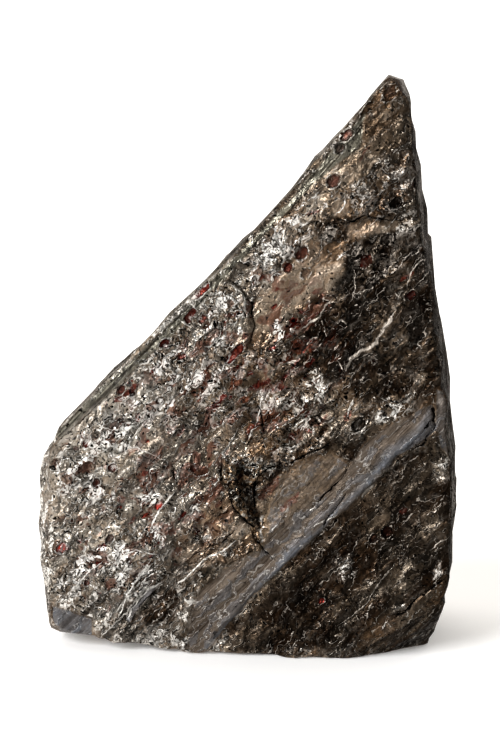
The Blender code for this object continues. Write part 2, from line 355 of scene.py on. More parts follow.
splinterOutline = [
    (-48.1, -1), (-47, 7.2), (-36.9, 21.1), (-25.4, 32.3), (-16.3, 29.7), (-15, 18.1), (-17.3, 0.6),
]

# Cracks: points, depth, half width, and how far the left side stands higher
cracks = [
    ([
        (-4.9, 65.6), (-5.5, 57.7), (-2.9, 52.6), (0.7, 46.7), (4.3, 42.1), (7.3, 36.7), (10.7, 33.9),
    ], 0.9, 0.3, 0.5),
    ([(11.7, 63.3), (7.2, 60.5), (4.4, 58), (3.9, 52.8), (4.6, 47.3)], 1, 0.3, -0.4),
    ([(11.4, 62), (12.7, 64), (17.1, 65.6), (22.9, 67.7), (26.1, 69.1), (28.7, 70.5)], 0.7, 0.24, 0.5),
    ([(12, 65.6), (15.5, 69.1)], 0.5, 0.2, 0.3),
    ([(-1.5, 57.5), (0.5, 53), (2.5, 49.5)], 0.5, 0.2, 0.2),
    ([
        (-4, 122), (-1.1, 120.7), (2, 116.1), (4.2, 114.3), (3.6, 112.4), (4.6, 107.8), (3.6, 104.6),
        (2.7, 101.7),
    ], 0.5, 0.18, -0.35),
    ([
        (20, 138.6), (23.3, 140), (27.9, 139.5), (32.4, 140.4), (38.5, 142.8), (46.7, 141.7),
    ], 0.9, 0.26, 0.6),
    ([(-54, 68), (-50.9, 66.1), (-46.7, 64.9), (-38.6, 63.3), (-33, 62.5)], 0.4, 0.16, 0.6),
    ([(5, 84), (6, 81.5), (7.3, 77.8), (8.2, 73.3)], 0.5, 0.18, 0.3),
    ([(34.8, 65.9), (33.9, 62.2), (29.5, 57.4), (24.4, 51.7)], 0.35, 0.24, 0.15),
    ([(34.9, 56), (31.2, 51.3), (28, 47.1), (26.1, 43.7)], 0.4, 0.24, 0.2),
    ([(60.8, 84.6), (61.2, 77), (57.2, 72.3), (53.4, 69.9)], 0.6, 0.24, 0.4),
    ([(60.3, 79.2), (55.4, 74.5), (52.7, 70.7)], 0.4, 0.2, 0.3),
    ([(66, 28.5), (60.9, 25), (56.9, 21.6), (53.7, 17.6), (49, 13.7)], 0.5, 0.24, 0.6),
    ([(-59.6, 67.5), (-51.6, 75.2), (-44, 82.6), (-33.4, 92)], 0.15, 0.12, 0.25),
    ([(-19, 29), (-14, 33), (-6, 38), (-1, 42)], 0.2, 0.14, 0.6),
    ([(-20.5, 57), (-21.5, 60), (-21, 63)], 0.3, 0.16, 0.4),
    ([(-35.2, 10.6), (-31.3, 15.9), (-26.4, 21.5)], 0.25, 0.14, 0.6),
    ([(-19.8, 22.6), (-19, 16.4), (-17.6, 8)], 0.2, 0.12, 0.3),
    ([(-3.5, 30.5), (1.5, 33.5), (5.8, 36)], 0.2, 0.13, 0.2),
    ([(-3, 117), (-0.6, 114.6), (1.8, 111), (1, 107.4)], 0.3, 0.14, 0.3),
]

# Thin crests, painted bright as a painted highlight, in the same way
crests = [
    ([(-1.3, 74.3), (-2.2, 71), (-4.8, 67.1), (-3.5, 65.5)], 0, 0.3, -0.8),
    ([
        (47.6, 113.2), (46.4, 110.4), (44.6, 108.1), (42.2, 103.7), (41, 102.1), (38, 100.8), (35.2, 98.5),
        (34.3, 96.3), (33.4, 94.4),
    ], 0, 0.75, -0.3),
    ([(57.6, 130.3), (54.9, 128.4), (52.5, 125.3), (51.7, 119.8)], 0, 0.16, 0.3),
    ([(53, 132), (50.6, 129.2), (48.6, 126.4)], 0, 0.12, 0.2),
    ([(24.2, 85.9), (23.1, 83.4)], 0, 0.3, -0.3),
    ([(30.4, 97.5), (32.2, 94.7)], 0, 0.3, 0.3),
    ([(36.5, 85.2), (34.8, 81.7), (34.3, 79.2)], 0, 0.3, -0.4),
    ([(55, 49.5), (52.2, 46.1)], 0, 0.3, -0.3),
    ([(65.3, 41.1), (60.9, 38)], 0, 0.3, -0.3),
    ([(47.3, 13.2), (45.7, 11.2)], 0, 0.3, -0.3),
    ([(22.9, 44.6), (26.7, 46.4)], 0, 0.3, 0.2),
    ([(28, 46.1), (30.6, 47.9)], 0, 0.3, 0.2),
    ([(22, 49.7), (23.4, 51)], 0, 0.3, 0.2),
    ([(10, 42.3), (11.6, 45)], 0, 0.3, 0.2),
    ([(-18.8, 108.7), (-15.6, 106.3)], 0, 0.3, 0.2),
    ([(-16.1, 114.9), (-14.3, 113.2)], 0, 0.3, 0.2),
    ([(49.1, 32), (43.6, 24.2), (40.5, 20.1), (35.8, 15.3), (31.7, 11.5)], 0, 0.3, -0.8),
    ([(28.2, 116.1), (24.5, 110.4), (19, 106.6)], 0, 0.3, -0.5),
    ([(32.6, 147.9), (31.6, 145), (29.9, 143)], 0, 0.3, 0.6),
    ([(-28.7, 30.8), (-35.3, 20.5), (-39.3, 10.2)], 0, 0.3, 0.5),
    ([(-36.7, 11.4), (-34, 15.2), (-29.4, 20.8), (-25.1, 24.3)], 0, 0.3, -0.4),
    ([(-19.6, 22.6), (-15.7, 26.7), (-10.8, 31.6), (-6, 35.4), (-0.5, 38.9)], 0, 0.3, 0.4),
    ([(-46.4, 65.6), (-41.5, 67.7), (-35.6, 68.6), (-28.5, 66.2), (-22.7, 63.8)], 0, 0.16, 0.4),
    ([(-45.9, 75.7), (-41.4, 73.6), (-35.6, 73.1), (-32.3, 75.2)], 0, 0.3, 0.3),
    ([(6.9, 134.2), (8.2, 129.3), (7, 125)], 0, 0.3, 0.4),
    ([(-55.1, 19.6), (-50.1, 24.8), (-45.1, 30.1)], 0, 0.3, 0.4),
    ([(-40.2, 30.3), (-33.6, 34.6), (-25.4, 33.6)], 0, 0.3, 0.3),
    ([(34.3, 116.3), (36.1, 120.9), (34.8, 126.2)], 0, 0.14, -0.3),
    ([(-39.3, 13.6), (-36, 19.1), (-31.3, 24)], 0, 0.3, 0.4),
    ([(-20.8, 54.1), (-26, 47.4), (-28.6, 40.7)], 0, 0.3, 0.4),
    ([(-6.2, 92.3), (-4.8, 95.2), (-2.9, 99.1)], 0, 0.3, -0.6),
    ([(5, 76.4), (6, 80.6), (7.2, 85.4), (6.9, 87.6)], 0, 0.3, -0.5),
    ([(58, 125.4), (56.2, 122.6), (54.5, 120.4)], 0, 0.14, -0.3),
    ([(-45.4, 3.2), (-38.7, 10.3), (-34.2, 16.3), (-29, 23.3)], 0, 0.3, 0.4),
    ([(-2.5, 106), (1.5, 112), (1, 117), (-3, 120.5)], 0, 0.3, 0.5),
]

# Round eyes: place, radius, depth, redness, darkness
eyes = [
    (19.3, 130.6, 1.6, 0.6, 0.5, 0.7), (15, 125.9, 1.1, 0.5, 0.8, 0.4), (20.3, 124.1, 1.2, 0.4, 0.2, 0.4),
    (28.6, 152.9, 1.6, 0.6, 0.5, 0.6), (32.5, 166.6, 1.4, 0.6, 0.3, 0.8), (30.5, 162.9, 1.3, 0.7, 0.1, 0.9),
    (54.1, 152.8, 1.4, 0.5, 0.3, 0.5), (47.6, 146.6, 1.4, 0.6, 0, 0.9), (45.3, 135.1, 1.4, 0.9, 0, 1),
    (38.8, 128.4, 1.5, 0.4, 0.4, 0.2), (45, 178.9, 1.6, 0.3, 0.1, 0.2), (-23.8, 101.3, 1.2, 0.7, 1, 0.4),
    (-49, 69.2, 1.3, 0.7, 0.9, 0.5), (-37.8, 86.3, 1.2, 0.5, 0.8, 0.5), (-33.9, 84.8, 0.7, 0.5, 0.1, 1),
    (-25.6, 82.9, 0.9, 0.5, 0.2, 0.9), (-25.8, 49.4, 1.1, 0.3, 1.6, 0), (-57.6, 34.2, 1.2, 0.4, 1.5, 0.1),
    (-46.1, 55.6, 1.2, 0.5, 0.3, 0.8), (-40.5, 61.1, 1.2, 0.5, 0.6, 0.7), (-41.9, 37.8, 1, 0.5, 0.2, 0.9),
    (27.5, 80.2, 1.8, 0.4, 0, 0), (37.4, 77.3, 1.8, 0.5, 0, 0.9), (46.7, 42.9, 1.4, 0.6, 0.1, 0.9),
    (42.5, 40.6, 1.1, 0.5, 0.1, 0.7), (26.2, 19.1, 0.8, 0.3, 1.2, 0.3), (-14.5, 62, 1, 0.4, 0.4, 0.6),
    (-49.5, 22.5, 0.8, 0.4, 0.7, 0.4), (-35.5, 30.5, 0.8, 0.4, 0.4, 0.5), (52.5, 118.5, 1.2, 0.5, 0.6, 0.7),
]

# Long eyes: ends, half width, depth, redness, darkness
slots = [
    ((-3.4, 96.5), (0.4, 101.2), 1.3, 0.8, 0.9, 0.5), ((-10.2, 102.3), (-7.5, 105.6), 1.5, 0.5, 0.35, 0.1),
    ((-16.4, 109), (-14.5, 111.4), 1.3, 0.8, 0.9, 0.6), ((-12.3, 108.7), (-11.2, 109.9), 1, 0.6, 0.7, 0.6),
    ((-19.3, 96.7), (-17.8, 97.4), 0.9, 0.4, 0.8, 0.4), ((-14.6, 116.1), (-10.6, 120.2), 1.5, 0.6, 1, 0.4),
]

# Dark red stains along the bedding: ends, half width, strength
stains = [
    ((-9.3, 81.1), (-4.2, 86), 1.1, 1), ((7.2, 87.3), (14.7, 88.8), 1, 0.8),
    ((-4.2, 110), (-0.5, 112), 0.9, 0.6), ((1.1, 103.3), (2.7, 104.6), 0.9, 0.6),
    ((-38.7, 83.3), (-32.3, 88), 0.9, 0.9), ((-28.4, 92), (-25.8, 94), 0.9, 1.1),
    ((-36.1, 87.6), (-34.4, 89), 0.6, 0.9), ((2.2, 86.5), (9.1, 91.8), 0.9, 0.8),
    ((17.4, 106.5), (28.2, 114.3), 0.5, 0.6), ((10.5, 86), (13.5, 91.5), 0.9, 0.6),
    ((13.5, 92), (18.5, 98), 0.7, 0.8), ((-20.5, 97.5), (-17, 102), 1.6, 0.45),
    ((20.5, 142), (25, 144), 0.6, 0.8), ((5.9, 51.5), (11.5, 59.5), 2, 0.45),
    ((13, 48.5), (19, 54.5), 1, 0.4), ((23, 76), (28, 80), 0.6, 0.4),
    ((-39.5, 50.6), (-36.5, 51.8), 1.5, 0.5), ((-45, 46), (-43.2, 47.6), 1.1, 0.5),
    ((-31.2, 59), (-29.4, 60.4), 1.1, 0.7), ((-7.6, 49.5), (-5.8, 52.2), 1, 0.5),
    ((49, 123), (53, 126), 0.6, 0.5), ((50.7, 49.2), (52.3, 50.3), 1, 0.5),
    ((-44, 13), (-41, 16), 0.6, 0.4), ((36, 159), (39, 163), 0.6, 0.35), ((-20, 72), (-17, 75.5), 0.6, 0.6),
    ((2, 73), (6, 76.5), 1, 0.5), ((14.5, 118), (17.5, 121.5), 0.6, 0.5), ((21, 76.5), (23, 74), 0.5, 0.7),
    ((33.5, 79), (35.5, 82), 0.9, 0.5),
]

# Where small red specks are common on the front
blushOutline = [
    (-60, 30), (-58, 62), (-30, 92), (0, 122), (14, 134), (24, 120), (30, 96), (22, 74), (4, 62), (-4, 44),
    (-24, 30), (-44, 14),
]

# The finished skin of the lump
skin = {
    "name": "lump",
    "voxel": 0.00042,  # metres
    "quickVoxel": 0.0007,
    "softening": 7,  # rounds that take the solid's flat facets away
    "triangles": 194000,
    "bedding": 47,  # degrees up to the right
    "faces": {"size": (30.0, 22.0, 13.0), "height": 2.0, "uneven": 0.6},
    "broad": {"size": (15.0, 9.0, 6.0), "height": 1.15, "uneven": 0.6},
    "scars": {"size": (7.5, 4.2, 3.0), "height": 0.8, "uneven": 0.6},
    "small": {"size": (3.4, 2.2, 1.6), "height": 0.34, "uneven": 0.5},
    "crumbs": {"size": (1.4, 1.4, 1.2), "height": 0.3, "uneven": 0.4},
    "treads": {"spacing": 2.8, "height": 0.45},
    "splinters": {"size": (20.0, 4.0, 2.6), "height": 1.3, "turn": 5},
    "grooves": {"size": (26.0, 5.0, 1.5), "height": 0.2},
    "scattered": {"size": (8.5 * 1.2, 8.5, 8.5), "deep": 0.55, "least": 0.5, "most": 1.1, "share": 0.25},
    "ripple": {"centre": (-30.3, 43.6), "radius": 6.5},
    "slopeLines": {"size": (22, 1.3, 6), "height": 0.35, "fine": 0.2},
    "hollowRise": 1.0,  # the crumbs of the hollow stand up again inside it
    "smoothAngle": 28,  # degrees; a sharper edge stays an edge
    "frontSpared": 0.55,  # how much less the front is thinned out
    # the pale slivers of the right side are a painted reflection
    "sliverReach": 4.0,  # how far back the pale slivers of the right side go
}


def only(thing):
    bpy.ops.object.select_all(action="DESELECT")
    thing.select_set(True)
    bpy.context.view_layer.objects.active = thing


def applyModifier(thing, kind, **settings):
    modifier = thing.modifiers.new(kind.lower(), kind)
    for name, value in settings.items():
        setattr(modifier, name, value)
    only(thing)
    bpy.ops.object.modifier_apply(modifier=modifier.name)


def copySolid():
    # a copy of the solid, merged and given an even, fine skin; the solid itself is left alone
    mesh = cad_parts["anthracite"].data.copy()
    mesh.materials.clear()
    thing = bpy.data.objects.new(skin["name"], mesh)
    bpy.context.scene.collection.objects.link(thing)
    only(thing)
    bpy.ops.object.mode_set(mode="EDIT")
    bpy.ops.mesh.select_all(action="SELECT")
    bpy.ops.mesh.remove_doubles(threshold=0.000001)
    bpy.ops.object.mode_set(mode="OBJECT")
    voxel = skin["voxel"]
    applyModifier(thing, "REMESH", mode="VOXEL", voxel_size=voxel)
    applyModifier(thing, "SMOOTH", factor=0.5, iterations=skin["softening"])
    return thing


def readVertices(thing, what):
    flat = np.empty(len(thing.data.vertices) * 3, np.float32)
    thing.data.vertices.foreach_get(what, flat)
    return flat.reshape(-1, 3).astype(float)


def beddingPlaces(points, degrees):
    # the same points, measured along the bedding, through it and across it
    a = math.radians(degrees)
    along = points[:, 0] * math.cos(a) + points[:, 2] * math.sin(a)
    across = points[:, 2] * math.cos(a) - points[:, 0] * math.sin(a)
    return np.stack([along, points[:, 1], across], axis=1)


def layer(places, kind, salt, bend=0.3):
    size = np.array(kind["size"])
    bent = places + bend * size * softNoise(places / (1.6 * size), salt + 50)
    level, gap, _ = scarField(bent / size, salt, kind.get("uneven", 0.4))
    return kind["height"] * (level - 0.45), gap


def carveSkin(thing):
    points = readVertices(thing, "co") * 1000
    normals = readVertices(thing, "normal")
    x, y, z = points.T
    front = smoothStep(0.12, 0.5, -normals[:, 1])
    flat = smoothStep(0.45, 0.8, -normals[:, 1])
    rim = smoothStep(0.1, 0.95, np.abs(normals[:, 1]))
    calm = 1 - 3.2 * rim * (1 - rim)  # the long edges of the lump stay straight
    calm *= 0.3 + 0.7 * smoothStep(0.3, 0.7, np.abs(normals[:, 1]))
    flank = smoothStep(0.45, 0.8, normals[:, 0]) * (1 - front)
    arris = smoothStep(0.15, 0.4, normals[:, 0]) * np.clip(4 * rim * (1 - rim), 0, 1)
    slope = smoothStep(0.35, 0.6, -normals[:, 0]) * smoothStep(0.3, 0.55, normals[:, 2])
    heights = np.arange(2, z.max(), 4)
    corner = [np.median(y[(arris > 0.3) & (np.abs(z - level) < 3)]) for level in heights]
    rimNear = np.exp(-np.abs(y - np.interp(z, heights, corner)) / skin["sliverReach"])
    rimNear *= smoothStep(0.2, 0.6, normals[:, 0]) * smoothStep(120, 95, z)
    under = smoothStep(0.6, 0.9, -normals[:, 2])
    leftSide = smoothStep(0.25, 0.6, -normals[:, 0]) * (1 - slope)
    places = beddingPlaces(points, skin["bedding"])

    # patches of rougher and smoother coal, then the front's own surfaces over them
    drift = softNoise(points / 17, 3) + 0.5 * softNoise(points / 7, 4)
    wander = softNoise(points / 5, 5) * 1.2 + softNoise(points / 1.8, 6) * 0.5
    rough = 0.8 + 0.3 * drift[:, 0]
    # the terms in x paint the front paler, with more glints, towards the left and darker towards the right:
    # painted light and painted shade, as from a light on the left
    glint = 0.4 + 0.35 * drift[:, 1] + 0.25 * front * smoothStep(10, -45, x)
    polish = 0.35 * smoothStep(0.5, 1.0, drift[:, 2])
    dark = 0.25 + 0.3 * drift[:, 0] + front * (0.35 * smoothStep(-15, 50, x) - 0.15)
    pale = 0.25 * smoothStep(0.3, 1.0, -drift[:, 2]) + 0.6 * front * smoothStep(10, -40, x)
    blush = smoothStep(0.1, 0.7, drift[:, 2] - 0.3 * drift[:, 1])
    fx, fz = x + wander[:, 0], z + wander[:, 2]
    blush += (patchShare(fx, fz, blushOutline, 6.0) - blush) * front
    warm = smoothStep(-0.4, 0.8, drift[:, 1] + drift[:, 2])
    dark += 0.25 * (1 - front)
    warm *= 0.4 + 0.6 * front
    blue = front * patchShare(fx, fz, blueEdge, 1.3)
    sink = np.zeros(len(points))
    for surface in frontSurfaces.values():
        spread = 0.35 if surface["soft"] < 1.3 else 1.0
        sx, sz = x + spread * wander[:, 0], z + spread * wander[:, 2]
        share = front * patchShare(sx, sz, surface["outline"], surface["soft"])
        sink += surface.get("sink", 0) * share
        blue += (surface.get("blue", 0) - blue) * share * (surface.get("polish", 0) < 1)
        warm += (surface.get("warm", 0.3) - warm) * share
        rough += (surface["rough"] - rough) * share
        glint += (surface["glint"] - glint) * share
        polish += (surface.get("polish", 0) - polish) * share
        dark += (surface.get("dark", 0) - dark) * share
        pale += (surface.get("pale", 0) - pale) * share
    for outline in glintPatches:
        share = front * patchShare(fx, fz, outline, 1.4)
        glint += (1.0 - glint) * share
        rough += (1.0 - rough) * share
        # the glinting patches are also painted paler and less dark: painted highlight
        pale += (0.5 - pale) * 0.7 * share
        dark *= 1 - 0.8 * share
    belt = front * patchShare(fx, fz, brightBelt, 3.0)
    glint += (0.8 - glint) * 0.6 * belt
    # the belt is also painted less dark and paler: painted light where it catches the light
    dark *= 1 - 0.7 * belt
    pale += 0.15 * belt
    hollow = front * patchShare(x + 0.5 * wander[:, 1], z + 0.5 * wander[:, 2], hollowOutline, 0.9)
    splinter = front * patchShare(fx, fz, splinterOutline, 1.5)
    strip = front * patchShare(x + 0.3 * wander[:, 0], z + 0.3 * wander[:, 2], slopeStrip, 0.5)
    slope = np.maximum(slope * (1 - smoothStep(0.0, 0.25, -normals[:, 1])), strip)
    rough *= 1 - 0.6 * strip
    glint *= 1 - 0.5 * strip
    rough *= 1 - 0.6 * splinter
    glint += 0.35 * leftSide
    polish *= 1 - leftSide

    # relief, in millimetres outwards
    faces, _ = layer(places, skin["faces"], 10)
    broad, _ = layer(places, skin["broad"], 11)
    scars, scarGap = layer(places, skin["scars"], 12)
    small, smallGap = layer(places, skin["small"], 13)
    crumbs, _ = layer(places, skin["crumbs"], 14)
    height = faces * (0.5 + 0.3 * rough) * (1 - 0.6 * polish)
    height += broad * (0.15 + 0.75 * rough)
    height += scars * rough
    height += small * rough * (0.5 + 0.7 * glint)
    height += crumbs * np.clip(rough * (0.2 + 1.0 * glint), 0, 1.2)
    height *= calm
    height += hollow * (crumbs * 3.0 + small * 1.6) - sink

    waver = softNoise(places / (9, 7, 4), 21)[:, 0]
    level = places[:, 2] / skin["treads"]["spacing"] + 0.9 * waver
    treads = level - np.floor(level) - 0.5
    stretch = smoothStep(-0.2, 0.5, softNoise(points / 11, 22)[:, 1])
    height += skin["treads"]["height"] * treads * stretch * (0.4 + 0.6 * rough) * (1 - 0.5 * polish) * calm

    slanted = beddingPlaces(points, skin["bedding"] + skin["splinters"]["turn"])
    splinters, splinterGap = layer(slanted, skin["splinters"], 15, bend=0.12)
    height += splinter * splinters
    grooves = softNoise(places / skin["grooves"]["size"], 16)[:, 0]
    grooves += 0.5 * softNoise(places / np.array(skin["grooves"]["size"]) * 2.1, 17)[:, 0]
    flow = np.clip(polish + 0.5 * (1 - rough) * front, 0, 1)
    height += skin["grooves"]["height"] * grooves * flow

    kind = skin["slopeLines"]
    sloping = places / kind["size"]
    slopeLines = kind["height"] * softNoise(sloping, 18)[:, 0]
    slopeLines += kind["fine"] * softNoise(sloping * 2.3, 19)[:, 0]
    height += slope * slopeLines

    # eyes: reach is 1 at the rim of the nearest one
    reach = np.full(len(points), 9.0)
    eyeDeep, eyeRed, eyeDark = np.zeros((3, len(points)))

    def addEye(away, deep, redness, darkness, where=True):
        nearer = (away < reach) & where
        reach[nearer] = away[nearer]
        for values, own in ((eyeDeep, deep), (eyeRed, redness), (eyeDark, darkness)):
            values[:] = np.where(nearer, own, values)

    ex, ez = x + 0.35 * wander[:, 1], z + 0.35 * wander[:, 0]
    a = math.radians(skin["bedding"])
    for cx, cz, radius, deep, redness, darkness in eyes:
        along = ((ex - cx) * math.cos(a) + (ez - cz) * math.sin(a)) / 1.35
        across = (ez - cz) * math.cos(a) - (ex - cx) * math.sin(a)
        addEye(np.hypot(along, across) / (1.2 * radius) + 9 * (1 - front), deep, redness, darkness)
    for start, end, radius, deep, redness, darkness in slots:
        away = lineDistance(ex, ez, [start, end])[0] / radius + 9 * (1 - front)
        addEye(away, deep, redness, darkness)
    kind = skin["scattered"]
    level, _, seed = scarField((places + wander * 0.4) / kind["size"], 41, 0)
    away = np.sqrt(level) * kind["size"][2] / (kind["least"] + (kind["most"] - kind["least"]) * seed[:, 1])
    chosen = (seed[:, 2] < kind["share"]) & (polish < 0.5)
    addEye(away, kind["deep"], seed[:, 0] * 0.9, 0.4 + 0.5 * seed[:, 1], chosen)
    floor = 1 - smoothStep(0.7, 1.0, reach)
    lip = np.exp(-(((reach - 1.15) / 0.2) ** 2))
    height += floor * (-eyeDeep - 0.5 * height) + 0.25 * lip
    kind = skin["ripple"]
    ripple = np.hypot(x - kind["centre"][0], (z - kind["centre"][1]) * 1.15) + 0.25 * wander[:, 1]
    rippleShare = front * (1 - smoothStep(0.5, 1.0, ripple / kind["radius"]))

    stain = np.full(len(points), 3.0)
    stainPower = np.zeros(len(points))
    for start, end, wide, strength in stains:
        gap, _, along = lineDistance(fx, fz, [start, end])
        leaf = gap / (wide * np.sqrt(np.clip(1.15 - (2 * along - 1) ** 2, 0.1, 1))) + 3 * (1 - front)
        nearer = leaf < stain
        stain = np.where(nearer, leaf, stain)
        stainPower = np.where(nearer, strength, stainPower)

    # cracks and crests: the gap is signed, so that the finish can draw a line finer than the mesh
    lineGaps = []
    lx, lz = x + 0.65 * wander[:, 0], z + 0.65 * wander[:, 1]
    for group in (cracks, crests):
        best = np.full(len(points), 9.0)
        wide = np.full(len(points), 0.3)
        for line, deep, halfWide, lift in group:
            gap, side, along = lineDistance(lx, lz, line)
            ends = front * smoothStep(0.0, 0.1, along) * smoothStep(1.0, 0.9, along)
            height -= deep * flat * ends * np.exp(-((gap / (halfWide + 0.2)) ** 2))
            height += lift * flat * ends * smoothStep(-0.25, 0.25, gap * side) * np.exp(-gap / 3)
            tapered = gap + 0.7 * (1 - ends)
            nearer = tapered < np.abs(best)
            best = np.where(nearer, tapered * side, best)
            wide = np.where(nearer, halfWide, wide)
        lineGaps.append((np.clip(best, -4, 4), wide))
    (crackGap, crackWide), (crestGap, crestWide) = lineGaps
    height += skin["hollowRise"] * hollow
    height *= 1 - 0.6 * under

    moved = points + normals * height[:, None]
    moved[:, 2] = np.maximum(moved[:, 2], 0)
    thing.data.vertices.foreach_set("co", (moved / 1000).astype(np.float32).ravel())

    # ridges are painted pale, a painted highlight along their crests; the bottoms of the hollows get none
    # of it
    edge = (1 - smoothStep(0.0, 0.12, scarGap)) * rough * 0.8
    edge = np.maximum(edge, (1 - smoothStep(0.0, 0.15, smallGap)) * (0.25 + 0.6 * glint) * rough)
    edge = np.maximum(edge, 0.7 * splinter * (1 - smoothStep(0.0, 0.1, splinterGap)))
    edge *= smoothStep(-0.2, 0.35, softNoise(points / 2.5, 31)[:, 0])
    masks = {
        "polish": polish, "dark": dark, "pale": pale, "glint": glint, "blue": blue, "hollow": hollow,
        "splinter": splinter, "slope": slope, "blush": blush, "edge": edge,
        "eyeReach": np.minimum(reach, 3), "eyeRed": eyeRed, "eyeDark": eyeDark,
        "stainReach": np.minimum(stain, 3), "stainPower": stainPower,
        "crackGap": crackGap, "crackWide": crackWide, "crestGap": crestGap, "crestWide": crestWide,
        "crackNear": 1 - smoothStep(1.0, 2.0, np.abs(crackGap)),
        "crestNear": 1 - smoothStep(1.0, 2.0, np.abs(crestGap)),
        "flank": flank, "arris": arris, "rimNear": rimNear, "warm": warm,
        "ripple": ripple, "rippleShare": rippleShare,
    }
    for name, values in masks.items():
        attribute = thing.data.attributes.new(name, "FLOAT", "POINT")
        attribute.data.foreach_set("value", values.astype(np.float32))
    thing.data.update()


def thinOut(thing):
    # fewer triangles where the skin is plain; the front keeps more than the rest
    triangles = sum(len(face.vertices) - 2 for face in thing.data.polygons)
    normals = readVertices(thing, "normal")
    group = thing.vertex_groups.new(name="plain")
    share = 1 - skin["frontSpared"] * smoothStep(0.2, 0.7, -normals[:, 1])
    for count, weight in enumerate(share):
        group.add([count], float(weight), "REPLACE")
    ratio = min(1.0, skin["triangles"] / triangles)
    applyModifier(thing, "DECIMATE", ratio=ratio, vertex_group="plain", vertex_group_factor=1.0)
    only(thing)
    bpy.ops.object.shade_smooth_by_angle(angle=math.radians(skin["smoothAngle"]))
    thing.vertex_groups.clear()


lump = copySolid()
print("the copy has", len(lump.data.vertices), "points")
carveSkin(lump)
print("the skin is carved")
thinOut(lump)
print("the skin has", len(lump.data.polygons), "triangles")

# The coal's finish: a dark, half metallic shine that takes its tint from these tones
coal = {
    "black": (0.0030, 0.0019, 0.0013),
    "brown": (0.165, 0.104, 0.062),
    "grey": (0.210, 0.170, 0.130),
    "warm": (0.250, 0.175, 0.112),
    "rust": (0.085, 0.023, 0.013),
    "side": (0.190, 0.184, 0.152),
    "band": (0.088, 0.070, 0.057),
    "bandLight": (0.130, 0.110, 0.092),
    "blueTone": (0.130, 0.136, 0.150),
    "paleTone": (0.46, 0.435, 0.39),
    "redTone": (0.055, 0.006, 0.004),
    "redLight": (0.120, 0.022, 0.014),
    "redGlow": (0.32, 0.045, 0.033),
    # edgeTone and edgeWarm: pale tones for the painted highlights, the painted reflection of the right
    # side's slivers and the lines at the slab's lens edges
    "edgeTone": (0.80, 0.78, 0.74),
    "edgeWarm": (0.60, 0.50, 0.41),
    "deep": (0.0125, 0.0060, 0.0028),
    "rimTint": (0.15, 0.12, 0.095, 1),  # keeps grazing reflections from turning white
    # near black for the painted shade at the feet of the steps, in pits and in cracks
    "paintedShade": (0.0012, 0.001, 0.0008),
    "metallic": 0.88,
    "ior": 1.36,
    "smooth": 0.16,
    "dull": 0.34,
    "relief": 0.9,
    "bendScale": 0.16,
    "bendReach": 7.0,  # millimetres
    "facetScale": 0.42,
    "grainScale": 0.95,
    # steps: stretch, scale, detail and how many
    "shelves": ((0.2, 0.7, 1.0), 0.085, 2.5, 10.0),
    "flakes": ((0.45, 0.8, 1.0), 0.19, 2.0, 8.0),
    "curls": ((0.8, 0.9, 1.0), 0.40, 1.5, 6.0),
    "blades": ((0.07, 0.5, 1.0), 0.15, 1.5, 7.0),
}


class Finish:
    # short names for the nodes that a finish needs
    def __init__(self, name):
        self.material = bpy.data.materials.new(name)
        self.material.use_nodes = True
        self.tree = self.material.node_tree
        self.shader = self.tree.nodes["Principled BSDF"]

    def node(self, kind, inputs=None, **settings):
        made = self.tree.nodes.new("ShaderNode" + kind)
        for name, value in settings.items():
            setattr(made, name, value)
        for name, value in (inputs or {}).items():
            self.feed(made.inputs[name], value)
        return made

    def feed(self, socket, value):
        if isinstance(value, bpy.types.NodeSocket):
            self.tree.links.new(value, socket)
        elif isinstance(value, tuple) and len(value) == 3 and socket.type == "RGBA":
            socket.default_value = (*value, 1.0)
        else:
            socket.default_value = value

    def math(self, operation, first, second=0.0, third=0.0, clamp=False):
        values = {0: first, 1: second, 2: third}
        return self.node("Math", values, operation=operation, use_clamp=clamp).outputs[0]

    def times(self, first, second, clamp=False):
        return self.math("MULTIPLY", first, second, clamp=clamp)

    def plus(self, first, second, clamp=False):
        return self.math("ADD", first, second, clamp=clamp)

    def minus(self, first, second, clamp=False):
        return self.math("SUBTRACT", first, second, clamp=clamp)

    def most(self, first, *others, clamp=False):
        for other in others[:-1]:
            first = self.math("MAXIMUM", first, other)
        return self.math("MAXIMUM", first, others[-1], clamp=clamp)

    def total(self, pairs, start=0.0):
        # each value times its share, added up
        for value, share in pairs:
            start = self.plus(start, self.times(value, share))
        return start

    def fade(self, value, low, high):
        return self.ramp(value, low, high, 1.0, 0.0)

    def scaled(self, value, factor, start, clamp=False):
        return self.math("MULTIPLY_ADD", value, factor, start, clamp=clamp)

    def vector(self, operation, first, second=(0, 0, 0), scale=None):
        made = self.node("VectorMath", {0: first, 1: second}, operation=operation)
        if scale is not None:
            self.feed(made.inputs["Scale"], scale)
        return made.outputs[0]

    def mix(self, share, first, second):
        made = self.node("Mix", data_type="RGBA")
        made.clamp_factor = True
        self.feed(made.inputs[0], share)
        self.feed(made.inputs[6], first)
        self.feed(made.inputs[7], second)
        return made.outputs[2]

    def ramp(self, value, low, high, start=0.0, end=1.0):
        values = {"Value": value, "From Min": low, "From Max": high, "To Min": start, "To Max": end}
        return self.node("MapRange", values, interpolation_type="SMOOTHSTEP").outputs[0]

    def channel(self, texture, which):
        return self.node("SeparateColor", {0: texture.outputs["Color"]}).outputs[which]

    def mask(self, name):
        return self.node("Attribute", attribute_name=name).outputs["Fac"]


